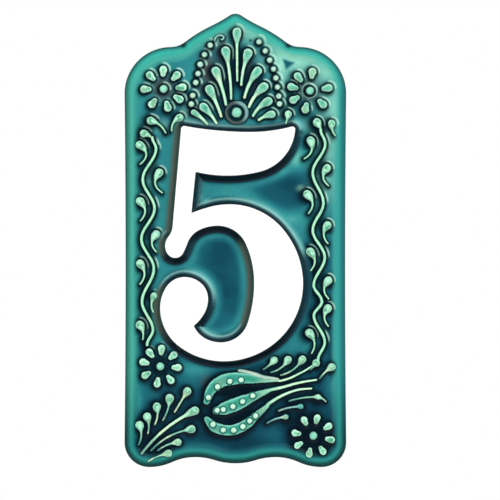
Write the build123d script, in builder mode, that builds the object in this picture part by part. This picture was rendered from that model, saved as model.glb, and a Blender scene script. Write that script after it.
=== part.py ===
import os
from math import cos, pi, sqrt
from build123d import *

# Plate sizes, in millimetres; the back lies on Y = 0 and the front faces -Y
FIELD_THICK = 7.0
RIM_THICK = 9.2
RIM_WIDTH = 5.8
RIM_SLOPE = 2.4
RIM_STEP = 0.1
EDGE_BEVEL = 2.4
EDGE_DROP = 1.9
BACK_BREAK = 0.6

# Sizes of the raised work on the field
NUMERAL_RISE = 3.2
NUMERAL_FLARE = 35
EMBED = 0.5
STROKE_RISE = 1.25
FLARE = 0.45
STEM_WIDTH = 0.75
DROP_LENGTH = 3.4
HEAD_ANGLES = (25, 72, 118)
VINE_RISE = 1.15
VINE_WIDTH = 0.9
VINE_STEPS = 6
PETAL_RISE = 1.35
PETAL = [(-2.5, 0.25), (-0.5, 1.05), (0.9, 1.4), (1.9, 1.1), (2.5, 0.45)]
BEAD_RISE = 1.3
BEAD_RADIUS = 1.55
BEAD_SIDES = 8
BEAD_TAPER = 16
LOBE_RISE = 1.0
LOBE_BEAD_RISE = 1.7

# Right half of the plate's outline: chains of tangent arcs run from the apex to the
# straight side, and from the lower corner to the middle of the lower edge
APEX = (0, 100)
CREST = [(2.6, 99.2), (10.3, 94.8), (22.4, 87.4), (28.5, 85.3), (49.0, 64.8)]
CORNER = (49.0, -89.0)
FOOT = [(38.0, -100.0), (27.9, -97.8), (17.8, -95.6), (8.9, -97.0), (0, -98.35)]

# Palmette and sprays: head, head radius, end of the stem, sideways bow of the stem
PALMETTE = [
    ((0.7, 91.3), 1.9, (0.7, 71.0), 0),
    ((-4.4, 83.9), 1.9, (-1.9, 62.8), 0.6),
    ((-8.8, 75.0), 1.9, (-4.2, 60.3), 0.5),
    ((-11.6, 67.0), 1.9, (-6.3, 55.1), 0.4),
    ((-14.2, 59.2), 1.8, (-8.4, 52.0), 0.4),
    ((-18.4, 56.8), 1.1, (-12.4, 51.6), 0.3),
    ((5.5, 83.0), 1.9, (2.6, 69.0), -0.5),
    ((9.7, 75.0), 1.9, (4.0, 63.4), -0.7),
    ((12.6, 68.1), 1.9, (6.0, 59.2), -0.8),
    ((14.5, 61.7), 1.8, (7.8, 55.3), -0.8),
    ((16.0, 55.9), 1.6, (10.4, 53.5), -0.4),
]
CORNER_LEAVES = [
    ((-37.5, 53.1), 1.7, (-30.8, 47.8), 1.1),
    ((-24.6, 54.4), 1.6, (-28.1, 48.7), -1.2),
    ((42.4, 51.9), 1.5, (44.0, 46.6), -0.5),
    ((-40.6, 47.5), 1.6, (-35.7, 43.0), 1.1),
    ((35.9, 52.4), 1.8, (38.2, 47.6), 0.3),
    ((23.2, 56.4), 1.2, (22.2, 53.4), 0.2),
]
VINE_LEAVES = [
    ((-42.3, 42.4), 1.7, (-42.0, 34.0), 2.8),
    ((-33.6, 30.2), 1.7, (-32.3, 21.4), -2.5),
    ((-42.2, 17.6), 1.7, (-41.9, 9.0), 2.2),
    ((-35.0, 3.0), 1.7, (-34.9, -4.7), -1.9),
    ((-42.2, -9.9), 1.7, (-42.1, -19.0), 2.0),
    ((-35.9, -24.2), 1.4, (-36.3, -31.2), -0.9),
    ((-42.3, -37.0), 1.8, (-40.9, -43.4), 0.8),
    ((33.1, 44.3), 1.8, (30.4, 36.4), 1.9),
    ((40.4, 32.2), 1.7, (41.1, 24.5), -2.0),
    ((31.6, 20.6), 1.8, (32.3, 12.3), 2.1),
    ((40.6, 7.0), 1.7, (40.8, -1.0), -1.7),
    ((32.8, -4.7), 1.8, (33.3, -12.9), 2.0),
    ((41.0, -17.4), 1.7, (41.1, -25.4), -1.9),
    ((40.8, -29.7), 1.7, (41.0, -37.5), -1.6),
    ((32.5, -40.6), 1.8, (33.7, -49.4), 1.8),
]
LEFT_SPRAY = [
    ((-17.9, -74.9), 1.8, (-41.2, -93.6), -1.9),
    ((-21.3, -66.3), 1.7, (-26.8, -75.4), 0),
    ((-29.1, -69.4), 1.8, (-32.0, -79.0), 0.7),
    ((-34.8, -73.0), 1.7, (-35.6, -81.0), 0.8),
    ((-39.0, -77.5), 1.7, (-38.6, -84.8), 0.6),
    ((-42.4, -81.2), 1.7, (-42.3, -89.2), 1.0),
    ((-19.4, -83.0), 1.7, (-37.2, -92.4), -1.8),
    ((-25.4, -88.8), 1.5, (-34.2, -92.4), -0.7),
    ((-29.5, -93.6), 1.5, (-38.4, -97.0), -0.5),
]
RIGHT_SPRAY = [
    ((16.8, -52.2), 1.5, (12.2, -56.1), 0.3),
    ((22.9, -52.0), 1.6, (15.5, -57.5), 1.0),
    ((29.3, -51.8), 1.6, (19.9, -58.7), 1.2),
    ((35.3, -53.4), 1.6, (33.0, -56.2), 0),
    ((42.3, -55.2), 1.6, (37.0, -60.2), -0.4),
    ((36.2, -68.4), 1.0, (23.5, -70.2), -0.6),
    ((28.4, -72.9), 1.1, (18.6, -74.8), -0.5),
    ((21.8, -77.5), 1.1, (13.6, -80.2), -0.6),
]

# Flowers: middle, ring radius of the petals, petal angles
FLOWERS = [
    ((-31.8, 67.1), 7.9, (91, 46, 5, -33, -77, -127, 181, 135)),
    ((32.8, 66.3), 7.8, (82, 9, -46, -104, -151, 168, 130)),
    ((-33.2, -55.3), 7.3, (86, 40, -4, -53, -100, -149, 166, 128)),
    ((34.3, -86.0), 7.6, (78, 32, -12, -58, -103, -149, 171, 120)),
]
FLOWER_MIDDLE = 1.9

# Bead chains beside the palmette, the boss under it and the ring round the boss
LEFT_CHAIN = [
    (-11.2, 86.4),
    (-13.7, 82.2),
    (-15.6, 77.9),
    (-16.6, 73.8),
    (-17.6, 69.9),
    (-18.9, 64.2),
    (-19.5, 60.4),
]
RIGHT_CHAIN = [
    (10.4, 87.9),
    (13.1, 83.9),
    (15.1, 79.8),
    (16.8, 75.9),
    (17.8, 71.9),
    (18.5, 67.9),
    (19.1, 63.9),
    (19.4, 60.5),
]
BOSS = (0.5, 56.6)
BOSS_RADIUS = 2.4
COLLAR_RADIUS = 4.9
COLLAR_WIDTH = 0.8
COLLAR_RISE = 0.6
COLLAR_SIDES = 16

# Turning points of the two vines
LEFT_VINE = [
    (-36.7, 45.7),
    (-35.0, 40.8),
    (-40.9, 27.2),
    (-35.7, 14.4),
    (-41.5, 0.9),
    (-36.0, -12.2),
    (-41.2, -26.8),
    (-36.4, -39.2),
    (-39.0, -45.8),
]
RIGHT_VINE_TOP = [
    (38.6, 47.4),
    (39.6, 43.0),
    (34.1, 30.2),
    (38.8, 16.8),
    (34.1, 4.8),
    (39.4, -7.2),
    (34.5, -19.6),
    (38.0, -26.2),
]
RIGHT_VINE_FOOT = [
    (38.2, -26.6),
    (34.6, -32.8),
    (39.4, -44.6),
    (36.4, -52.6),
]

# Tulip: each lobe as its upper edge, its lower edge and the line of its stem
UPPER_LOBE = [
    [(-14.1, -70.6), (-12.7, -64.4), (-7.7, -59.7), (0.9, -58.3), (10.9, -60.2), (21.3, -61.1)],
    [(-11.3, -70.8), (-8.9, -66.8), (-4.1, -63.9), (3.3, -62.9), (12.3, -62.4), (21.3, -61.8)],
    [(19.7, -61.7), (23.7, -60.6), (27.5, -58.8), (31.1, -56.9), (34.1, -54.9)],
]
MIDDLE_LOBE = [
    [(-9.3, -73.9), (-5.7, -71.3), (0.9, -68.7), (8.9, -66.5), (16.7, -64.6)],
    [(-8.4, -76.2), (-3.7, -76.6), (2.3, -74.3), (9.3, -69.9), (16.7, -65.7)],
    [(15.3, -65.7), (21.0, -64.4), (26.5, -62.85), (30.9, -61.95), (35.7, -61.2)],
]
LOWER_LOBE = [
    [(-11.9, -77.8), (-7.7, -80.5), (-1.7, -81.3), (4.3, -78.7), (9.9, -74.7), (15.9, -70.3)],
    [(-13.5, -79.4), (-10.1, -84.2), (-2.1, -85.9), (4.9, -83.1), (10.9, -77.2), (16.5, -71.4)],
    [(14.7, -71.7), (18.8, -69.1), (23.2, -67.0), (28.2, -65.5), (33.5, -65.0)],
]
LOBE_BEADS = [
    (-12.0, -69.0),
    (-8.0, -64.3),
    (-2.5, -61.9),
    (2.5, -61.3),
    (-8.1, -74.7),
    (-5.4, -74.3),
    (-1.1, -73.0),
    (3.1, -70.8),
    (7.6, -68.2),
    (-10.0, -80.9),
    (-5.5, -83.3),
    (-0.8, -83.5),
    (3.3, -81.8),
    (6.2, -79.3),
    (8.8, -77.2),
]
LOBE_BEAD_RADIUS = 1.25
LOBE_BEAD_TAPER = 10

# Numeral: outer side of the bowl from the stem to the inner end, and the counter back
BOWL = [
    ((-19.2, 12.3), (0.93, 0.37)),
    ((-2.5, 16.1), (1, 0)),
    ((29.9, -19.0), (0, -1)),
    ((-5.1, -53.2), (-1, 0)),
    ((-33.2, -29.6), (0, 1)),
    ((-22.3, -15.9), (1, 0)),
    ((-11.9, -25.6), (0, -1)),
    ((-18.2, -37.5), (-0.78, -0.62)),
]
COUNTER = [
    ((-18.2, -37.5), (0.4, -0.92)),
    ((-6.4, -44.7), (1, 0)),
    ((8.2, -18.5), (0, 1)),
    ((-7.8, 6.5), (-1, 0)),
    ((-21.1, -1.4), (-0.32, -0.95)),
    ((-26.4, -7.7), (-1, 0)),
    ((-31.0, -2.4), (0, 1)),
    ((-27.7, 6.2), (0.087, 0.996)),
]

FIELD = Plane.XZ.offset(FIELD_THICK - EMBED)


def tangent_chain(start, heading, points):
    """Draw tangent arcs from start through the points."""
    here = start
    for there in points:
        arc = TangentArc(here, there, tangent=heading)
        heading = arc % 1
        here = there


def arc_run(spots):
    """Draw pairs of tangent arcs between spots, each a place and a heading."""
    for (start, heading), (end, arrival) in zip(spots, spots[1:]):
        gap = Vector(*end) - Vector(*start)
        first = Vector(*heading).normalized()
        last = Vector(*arrival).normalized()
        spread = 2 * (1 - first.dot(last))
        drift = gap.dot(first + last)
        reach = gap.dot(gap) / (sqrt(drift * drift + spread * gap.dot(gap)) + drift)
        middle = (Vector(*start) + Vector(*end) + (first - last) * reach) / 2
        arc = TangentArc(start, middle, tangent=first)
        TangentArc(middle, end, tangent=arc % 1)


def flared(ring, rise):
    """Make a raised shape whose walls spread towards the field."""
    with BuildPart() as shape:
        with BuildSketch(FIELD):
            with BuildLine():
                Polyline(*ring(FLARE), close=True)
            make_face()
        with BuildSketch(Plane.XZ.offset(FIELD_THICK + rise)):
            with BuildLine():
                Polyline(*ring(0), close=True)
            make_face()
        loft(ruled=True)
    return shape.part


def stroke(head, radius, tip, bow):
    """Make a drop-shaped head with a thin stem that runs to the tip."""
    with BuildLine() as path:
        if bow == 0:
            Line(head, tip)
        else:
            SagittaArc(head, tip, bow)
    spine = path.edges()[0]
    neck = min(0.7, DROP_LENGTH * radius / spine.length)
    back = (Vector(*head) - spine.position_at(neck)).normalized()

    def ring(grow):
        sides = {1: [], -1: []}
        for hand, side in sides.items():
            for angle in HEAD_ANGLES:
                reach = back * (radius + grow)
                side.append(Vector(*head) + reach.rotate(Axis.Z, -hand * angle))
            for place in (neck, (1 + neck) / 2, 1):
                across = spine.tangent_at(place).rotate(Axis.Z, hand * 90)
                side.append(spine.position_at(place) + across * (STEM_WIDTH / 2 + grow))
            side[-1] = side[-1] + spine.tangent_at(1) * grow
        return sides[1] + sides[-1][::-1]

    return flared(ring, STROKE_RISE)


def band(spots, width, rise):
    """Make a strip of even width along a run of points."""

    def ring(grow):
        left = []
        right = []
        for number, spot in enumerate(spots):
            before = spots[max(number - 1, 0)]
            after = spots[min(number + 1, len(spots) - 1)]
            across = (after - before).normalized().rotate(Axis.Z, 90) * (width / 2 + grow)
            left.append(spot + across)
            right.append(spot - across)
        return left + right[::-1]

    return flared(ring, rise)


def vine(turns):
    """Make a winding band that runs upright at each turning point."""
    spots = []
    for upper, lower in zip(turns, turns[1:]):
        for step in range(VINE_STEPS):
            part = step / VINE_STEPS
            swing = (1 - cos(pi * part)) / 2
            x = upper[0] + (lower[0] - upper[0]) * swing
            spots.append(Vector(x, upper[1] + (lower[1] - upper[1]) * part))
    spots.append(Vector(*turns[-1]))
    return band(spots, VINE_WIDTH, VINE_RISE)


def petal(middle, distance, angle):
    """Make one petal of a flower, its wide end outward."""
    out = Vector(1, 0).rotate(Axis.Z, angle)
    across = Vector(0, 1).rotate(Axis.Z, angle)
    spot = Vector(*middle) + out * distance

    def ring(grow):
        spread = 1 + grow / PETAL[-1][0]
        left = [spot + out * along * spread + across * (half + grow) for along, half in PETAL]
        right = [spot + out * along * spread - across * (half + grow) for along, half in PETAL]
        return left + right[::-1]

    return flared(ring, PETAL_RISE)


with BuildPart() as plaque:
    # Plate with a softened edge
    with BuildSketch(Plane.XZ) as outline:
        with BuildLine():
            tangent_chain(APEX, (1, 0), CREST)
            Line(CREST[-1], CORNER)
            tangent_chain(CORNER, (0, -1), FOOT)
            mirror(about=Plane.YZ)
        make_face()
    extrude(amount=RIM_THICK)
    chamfer(plaque.faces().sort_by(Axis.Y)[0].outer_wire().edges(), EDGE_BEVEL, EDGE_DROP)
    chamfer(plaque.faces().sort_by(Axis.Y)[-1].outer_wire().edges(), BACK_BREAK)

    # Sunk field inside the rim
    with BuildSketch(Plane.XZ.offset(RIM_THICK)):
        add(outline.sketch_local)
        offset(amount=-RIM_WIDTH, mode=Mode.REPLACE, kind=Kind.INTERSECTION)
    extrude(amount=FIELD_THICK - RIM_THICK, mode=Mode.SUBTRACT)
    rim_inner = plaque.faces().filter_by(Plane.XZ).sort_by(Axis.Y)[0].inner_wires()[0]
    chamfer(rim_inner.edges(), RIM_SLOPE, RIM_THICK - FIELD_THICK - RIM_STEP)

    # Numeral with flared walls
    with BuildSketch(Plane.XZ.offset(FIELD_THICK + NUMERAL_RISE)):
        with BuildLine():
            TangentArc((6.6, 47.9), (-22.6, 50.6), tangent=(-1, 0))
            TangentArc((6.6, 47.9), (24.8, 50.3), tangent=(1, 0))
            ThreePointArc((24.8, 50.3), (26.1, 49.9), (26.4, 48.4))
            ThreePointArc((26.4, 48.4), (22.4, 38.0), (9.6, 30.0))
            ThreePointArc((9.6, 30.0), (-3.0, 28.5), (-17.4, 30.2))
            Line((-17.4, 30.2), BOWL[0][0])
            arc_run(BOWL)
            arc_run(COUNTER)
            Line(COUNTER[-1][0], (-24.0, 48.8))
            ThreePointArc((-24.0, 48.8), (-23.6, 50.1), (-22.6, 50.6))
        make_face()
    extrude(amount=-NUMERAL_RISE - EMBED, taper=-NUMERAL_FLARE)

    # Palmette, leaves and sprays, vines and petals
    relief = []
    for row in (PALMETTE, CORNER_LEAVES, VINE_LEAVES, LEFT_SPRAY, RIGHT_SPRAY):
        relief += [stroke(*marks) for marks in row]
    relief += [vine(turns) for turns in (LEFT_VINE, RIGHT_VINE_TOP, RIGHT_VINE_FOOT)]
    for middle, distance, angles in FLOWERS:
        relief += [petal(middle, distance, angle) for angle in angles]
    add(relief)

    # Tulip of three lobes on long stems
    with BuildSketch(FIELD):
        for upper, lower, stem in (UPPER_LOBE, MIDDLE_LOBE, LOWER_LOBE):
            with BuildLine():
                Spline(upper)
                Spline(lower)
                Line(upper[0], lower[0])
                Line(upper[-1], lower[-1])
            make_face()
    extrude(amount=LOBE_RISE + EMBED)
    stems = [stem for upper, lower, stem in (UPPER_LOBE, MIDDLE_LOBE, LOWER_LOBE)]
    add([band([Vector(*spot) for spot in stem], STEM_WIDTH, VINE_RISE) for stem in stems])

    # Beads, flower middles and the boss under the palmette
    with BuildSketch(FIELD):
        with Locations(*LEFT_CHAIN, *RIGHT_CHAIN):
            RegularPolygon(BEAD_RADIUS, BEAD_SIDES)
        with Locations(*[middle for middle, ring, angles in FLOWERS]):
            RegularPolygon(FLOWER_MIDDLE, BEAD_SIDES)
        with Locations(BOSS):
            RegularPolygon(BOSS_RADIUS, BEAD_SIDES)
    extrude(amount=BEAD_RISE + EMBED, taper=BEAD_TAPER)
    with BuildSketch(FIELD):
        with Locations(BOSS):
            RegularPolygon(COLLAR_RADIUS + COLLAR_WIDTH / 2, COLLAR_SIDES)
            RegularPolygon(COLLAR_RADIUS - COLLAR_WIDTH / 2, COLLAR_SIDES, mode=Mode.SUBTRACT)
    extrude(amount=COLLAR_RISE + EMBED)
    with BuildSketch(FIELD):
        with Locations(*LOBE_BEADS):
            RegularPolygon(LOBE_BEAD_RADIUS, BEAD_SIDES)
    extrude(amount=LOBE_BEAD_RISE + EMBED, taper=LOBE_BEAD_TAPER)

plaque.part.label = "plaque"
os.makedirs("parts", exist_ok=True)
export_step(plaque.part, "parts/plaque.step")
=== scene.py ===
import math

import bmesh
import bpy
import numpy as np
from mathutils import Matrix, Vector


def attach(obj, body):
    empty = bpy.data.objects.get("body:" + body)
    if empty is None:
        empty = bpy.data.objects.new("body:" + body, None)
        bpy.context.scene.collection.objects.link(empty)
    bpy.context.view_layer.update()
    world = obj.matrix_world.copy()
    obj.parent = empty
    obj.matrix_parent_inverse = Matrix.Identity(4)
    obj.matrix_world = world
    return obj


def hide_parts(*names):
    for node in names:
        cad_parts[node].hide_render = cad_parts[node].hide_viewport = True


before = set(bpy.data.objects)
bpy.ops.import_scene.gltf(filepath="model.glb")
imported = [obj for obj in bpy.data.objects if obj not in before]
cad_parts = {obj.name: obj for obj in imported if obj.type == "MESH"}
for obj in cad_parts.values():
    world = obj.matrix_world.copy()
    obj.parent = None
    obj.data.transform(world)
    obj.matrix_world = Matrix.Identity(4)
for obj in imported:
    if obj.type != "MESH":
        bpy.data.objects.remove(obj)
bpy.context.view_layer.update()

# Plate
# A pressed slab of pale earthenware with a rounded, raised rim round a sunk field.
# Drying draws its long sides in a little and leaves its crest a little high.
# The grid of cells follows the outline of the solid.
MM = 0.001
FIELD_HEIGHT = 7.0
RIM_HEIGHT = 9.2
EDGE_ROLL = 3.2
EDGE_FALL = 2.6
RIM_CREST = 2.8
RIM_END = 6.4
BACK_BREAK = 0.6
SIDE_TOP = 64.8
SIDE_FOOT = -89.0
SIDE_DRAW = 0.5
TOP_LIFT = 0.3
DRAW_MIDDLE = -12.0
DRAW_REACH = 80.0
DRAW_EDGE = (41, 49)
LIFT_RISE = (50, 72)
LIFT_FALL = (0, 6)
CELL = 0.48
EDGE_STEPS = (0.07, 0.10, 0.14, 0.19, 0.25, 0.32, 0.40)
LEVEL_SLACK = 0.01
SIDE_SLACK = 0.05
BATCH = 2000

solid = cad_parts["plaque"].data
corners = np.array([vertex.co for vertex in solid.vertices]) / MM
triangles = np.array([face.vertices[:] for face in solid.polygons])


def edge_lines(height):
    """Straight pieces of the solid's edge line at one height above the back."""
    places = corners[triangles]
    level = np.abs(places[:, :, 1] + height) < LEVEL_SLACK
    walls = level.sum(axis=1) == 2
    return places[walls][level[walls]].reshape(-1, 2, 3)[:, :, [0, 2]]


def steps_from(lines, places):
    """Step from the nearest point of the lines to each place."""
    start = lines[:, 0]
    run = lines[:, 1] - start
    size = np.maximum((run ** 2).sum(axis=1), 1e-9)
    steps = np.empty((len(places), 2))
    for first in range(0, len(places), BATCH):
        gap = places[first:first + BATCH, None] - start
        along = np.clip((gap * run).sum(axis=2) / size, 0, 1)
        step = gap - along[..., None] * run
        nearest = (step ** 2).sum(axis=2).argmin(axis=1)
        steps[first:first + BATCH] = step[np.arange(len(nearest)), nearest]
    return steps


def eased(value, start, end):
    """Smooth step from 0 at start to 1 at end."""
    share = np.clip((value - start) / (end - start), 0, 1)
    return share * share * (3 - 2 * share)


def stations(length):
    """Places along a length, closer together at its two ends, as shares of it."""
    ease = np.cumsum(EDGE_STEPS)
    count = round((length - 2 * ease[-1]) / CELL)
    middle = np.linspace(ease[-1], length - ease[-1], count + 1)
    return np.concatenate([[0], ease[:-1], middle, length - ease[-2::-1], [length]]) / length


outline = edge_lines(BACK_BREAK)


def ground(places):
    """Height of the bare plate at each place, and how far in from its edge the place is."""
    inset = np.linalg.norm(steps_from(outline, places), axis=1)
    roll = np.clip(1 - inset / EDGE_ROLL, 0, 1)
    level = RIM_HEIGHT - EDGE_FALL * roll ** 2
    return level - (RIM_HEIGHT - FIELD_HEIGHT) * eased(inset, RIM_CREST, RIM_END), inset


rim_spots = outline.reshape(-1, 2)
crest_spots = rim_spots[rim_spots[:, 1] > SIDE_TOP - SIDE_SLACK]
crest_spots = crest_spots[np.argsort(crest_spots[:, 0])]
foot_spots = rim_spots[rim_spots[:, 1] < SIDE_FOOT + SIDE_SLACK]
foot_spots = foot_spots[np.argsort(foot_spots[:, 0])]
half_width = rim_spots[:, 0].max()
columns = (stations(2 * half_width) - 0.5) * 2 * half_width
column_tops = np.interp(columns, crest_spots[:, 0], crest_spots[:, 1])
column_feet = np.interp(columns, foot_spots[:, 0], foot_spots[:, 1])
rows = stations(np.ptp(rim_spots[:, 1]))

slab = bmesh.new()
bmesh.ops.create_grid(slab, x_segments=len(columns) - 1, y_segments=len(rows) - 1, size=1)
grid = (np.array([vertex.co for vertex in slab.verts])[:, :2] + 1) / 2
column = np.rint(grid[:, 0] * (len(columns) - 1)).astype(int)
row = np.rint(grid[:, 1] * (len(rows) - 1)).astype(int)
spots = np.empty((len(grid), 2))
spots[:, 0] = columns[column]
spots[:, 1] = column_feet[column] + (column_tops - column_feet)[column] * rows[row]
height, rim_distance = ground(spots)
draw = SIDE_DRAW * np.clip(1 - ((spots[:, 1] - DRAW_MIDDLE) / DRAW_REACH) ** 2, 0, 1)
draw *= eased(np.abs(spots[:, 0]), *DRAW_EDGE)
drawn_in = spots[:, 0] - np.sign(spots[:, 0]) * draw
lift = TOP_LIFT * eased(spots[:, 1], *LIFT_RISE) * (1 - eased(rim_distance, *LIFT_FALL))
lifted = spots[:, 1] + lift

# Numeral
# A raised figure with a flat face of white enamel and walls that flare to the field.
# Its edge is the solid's own, and the walls are eased as glaze rounds them.
NUMERAL_HEIGHT = 10.2
SHOULDER = -0.35
WALL_END = 2.75

numeral_lines = edge_lines(NUMERAL_HEIGHT)
from_numeral = steps_from(numeral_lines, spots)
numeral_distance = np.linalg.norm(from_numeral, axis=1)
facing = from_numeral / np.maximum(numeral_distance, 1e-6)[:, None]
inside = np.zeros(len(spots), bool)
for (x0, z0), (x1, z1) in numeral_lines:
    if z0 != z1:
        between = (z0 > spots[:, 1]) != (z1 > spots[:, 1])
        inside ^= between & (x0 + (spots[:, 1] - z0) * (x1 - x0) / (z1 - z0) > spots[:, 0])
numeral_distance[inside] *= -1
height += (NUMERAL_HEIGHT - FIELD_HEIGHT) * (1 - eased(numeral_distance, SHOULDER, WALL_END))

# Trailed slip
# Liquid clay is squeezed from a nozzle onto the field in drops, strokes and lines.
# Each sags a little, keeps a round back and is built up in rings from its foot to its crest.
SAG = np.array([0.0, -0.22])
FOOT_SPREAD = 0.3
ROOT_DEPTH = 0.5
STROKE_RISE = 1.3
CAP_STEPS = 8
TRAIL_RINGS = ((0.96, 0.22), (0.88, 0.48), (0.75, 0.72), (0.57, 0.88), (0.34, 0.97), (0.0, 1.0))
SLOPE_REACH = (2.0, 4.5)
SLOPE_RISE = 0.55
CREST_MERGE = 0.004
# BRIGHT_SIDE is the way the painted light comes from, up and to the right; it sets painted shade,
# highlights and glints on the trails, the plate and the numeral's walls.
BRIGHT_SIDE = np.array([0.75, 0.66])
STROKE_STEPS = 22
STROKE_CROWDING = 1.2
NECK_LIMIT = 0.66
STEM_TAPER = 0.45
STEM_FADE = 0.15
FADE_START = 0.55
HEAD_FALL = 0.4
FULL_RISE = 0.8
BEAD_STEPS = 20

footprints = []


def lay_slip(group, middles, ways, radii, rises, drops, tails, rings):
    """Add one raised shape: round its foot each place has a middle, a way out, a radius and a rise."""
    foot = bmesh.ops.create_circle(group, cap_ends=True, radius=1, segments=len(middles))["verts"]
    across = group.verts.layers.float["across"]
    side = group.verts.layers.float["side"]
    drop = group.verts.layers.float["drop"]
    tail = group.verts.layers.float["tail"]
    ring = list(foot[0].link_faces[0].verts)
    edges = [group.edges.get((ring[i - 1], ring[i])) for i in range(len(ring))]
    for share, lift in ((1.0, None),) + rings:
        if lift is not None:
            made = bmesh.ops.extrude_edge_only(group, edges=edges)["geom"]
            fresh = {part for part in made if isinstance(part, bmesh.types.BMVert)}
            ring = [
                next(e.other_vert(v) for e in v.link_edges if e.other_vert(v) in fresh) for v in ring
            ]
            edges = [group.edges.get((ring[i - 1], ring[i])) for i in range(len(ring))]
        places = middles + ways * (radii * share)[:, None]
        level, inset = ground(places)
        if lift is None:
            level -= ROOT_DEPTH
        else:
            level += rises * lift * (SLOPE_RISE + (1 - SLOPE_RISE) * eased(inset, *SLOPE_REACH))
        for vertex, place, up, way, blob, fade in zip(ring, places, level, ways, drops, tails):
            vertex.co = Vector((place[0], -up, place[1])) * MM
            vertex[across] = share
            # How far this point faces BRIGHT_SIDE, for painted light and shade.
            vertex[side] = share * (way @ BRIGHT_SIDE)
            vertex[drop] = blob
            vertex[tail] = fade
    bmesh.ops.remove_doubles(group, verts=ring, dist=CREST_MERGE * MM)


def trail(group, spine, widths, rise, drops, wet, rings=TRAIL_RINGS, fade=0.0):
    """Lay slip along a spine, round at both ends; wet is how far the dark beside it reaches, pooled
    glaze with painted shade further on the side away from the light.
    """
    spine = np.asarray(spine, float) + SAG
    tails = fade * eased(np.linspace(0, 1, len(spine)), FADE_START, 1.0)
    widths = np.asarray(widths, float) + FOOT_SPREAD
    footprints.append((spine, widths, wet))
    heading = np.gradient(spine, axis=0)
    heading /= np.linalg.norm(heading, axis=1)[:, None]
    side = heading @ np.array([[0, 1], [-1, 0]])
    turn = np.linspace(0, math.pi, CAP_STEPS + 1)[1:-1, None]
    start_cap = np.cos(turn) * -side[0] - np.sin(turn) * heading[0]
    end_cap = np.cos(turn) * side[-1] + np.sin(turn) * heading[-1]
    order = np.concatenate([
        np.arange(len(spine)),
        np.full(CAP_STEPS - 1, len(spine) - 1),
        np.arange(len(spine))[::-1],
        np.zeros(CAP_STEPS - 1, int),
    ])
    ways = np.concatenate([side, end_cap, -side[::-1], start_cap])
    rises = rise * np.minimum(1, (widths / (widths.max() * FULL_RISE)) ** 0.5)
    lay_slip(group, spine[order], ways, widths[order], rises[order], drops[order], tails[order], rings)


def stroke(group, head, radius, tip, bow, wet, stem, drop_length, fade=STEM_FADE):
    """A drop-shaped head with a thin stem that runs to the tip in a gentle bow."""
    head = np.array(head, float)
    run = np.array(tip) - head
    length = np.linalg.norm(run)
    share = np.linspace(0, 1, STROKE_STEPS) ** STROKE_CROWDING
    left = np.array([-run[1], run[0]]) / length
    spine = head + share[:, None] * run + (4 * bow * share * (1 - share))[:, None] * left
    neck = min(NECK_LIMIT, drop_length * radius / length)
    taper = 1 - eased(share, 0, neck)
    widths = stem * (1 - STEM_TAPER * share) + (radius - stem) * taper
    trail(group, spine, widths, STROKE_RISE, taper ** HEAD_FALL, wet, fade=fade)


def bead(group, middle, radius, rise, wet, rings=TRAIL_RINGS):
    """A round drop of slip."""
    turn = np.linspace(0, 2 * math.pi, BEAD_STEPS + 1)[:-1]
    ways = np.stack([np.cos(turn), np.sin(turn)], axis=1)
    reach = radius + FOOT_SPREAD
    middles = np.tile(np.array(middle) + SAG, (BEAD_STEPS, 1))
    footprints.append((middles[:1], np.array([reach]), wet))
    heads = np.ones(BEAD_STEPS)
    lay_slip(group, middles, ways, heads * reach, heads * rise, heads, heads * 0, rings)


def new_group():
    """An empty mesh for slip that keeps how far out a point is, how far it faces BRIGHT_SIDE for painted
    light and shade, how near a head it is and how far its stem fades.
    """
    group = bmesh.new()
    for name in ("across", "side", "drop", "tail"):
        group.verts.layers.float.new(name)
    return group


def make_piece(group, name, material):
    """Turn a finished mesh into a piece that rides on the plate's body."""
    bmesh.ops.recalc_face_normals(group, faces=group.faces)
    mesh = bpy.data.meshes.new(name)
    for face in group.faces:
        face.smooth = True
    group.to_mesh(mesh)
    group.free()
    mesh.materials.append(material)
    piece = bpy.data.objects.new(name, mesh)
    bpy.context.scene.collection.objects.link(piece)
    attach(piece, "root")
    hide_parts("plaque")
    return piece


def paint(red, green, blue):
    """A colour given as 0 to 255 display values, as the shader wants it."""
    channels = (red, green, blue)
    return [((v / 255 + 0.055) / 1.055) ** 2.4 if v > 10 else v / 3295 for v in channels] + [1]


def new_finish(name):
    """A material with its nodes, links and surface shader."""
    material = bpy.data.materials.new(name)
    material.use_nodes = True
    nodes = material.node_tree.nodes
    return material, nodes, material.node_tree.links, nodes["Principled BSDF"]


def colour_ramp(nodes, links, value, stops):
    """Colours along a value from 0 to 1."""
    node = nodes.new("ShaderNodeValToRGB")
    ramp = node.color_ramp
    ramp.elements[0].position, ramp.elements[0].color = stops[0][0], paint(*stops[0][1])
    ramp.elements[1].position, ramp.elements[1].color = stops[-1][0], paint(*stops[-1][1])
    for place, colour in stops[1:-1]:
        ramp.elements.new(place).color = paint(*colour)
    links.new(value, node.inputs["Fac"])
    return node.outputs["Color"]


def spread(nodes, links, value, start, end, low=0.0, high=1.0):
    """A value brought from one range to another, with soft ends."""
    node = nodes.new("ShaderNodeMapRange")
    node.interpolation_type = "SMOOTHSTEP"
    node.inputs["From Min"].default_value = start
    node.inputs["From Max"].default_value = end
    node.inputs["To Min"].default_value = low
    node.inputs["To Max"].default_value = high
    links.new(value, node.inputs["Value"])
    return node.outputs["Result"]


def blended(nodes, links, share, first, second):
    """Two colours mixed by a share."""
    node = nodes.new("ShaderNodeMix")
    node.data_type = "RGBA"
    for socket, source in (("Factor_Float", share), ("A_Color", first), ("B_Color", second)):
        target = next(entry for entry in node.inputs if entry.identifier == socket)
        if isinstance(source, bpy.types.NodeSocket):
            links.new(source, target)
        else:
            target.default_value = source
    return next(entry for entry in node.outputs if entry.identifier == "Result_Color")


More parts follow.
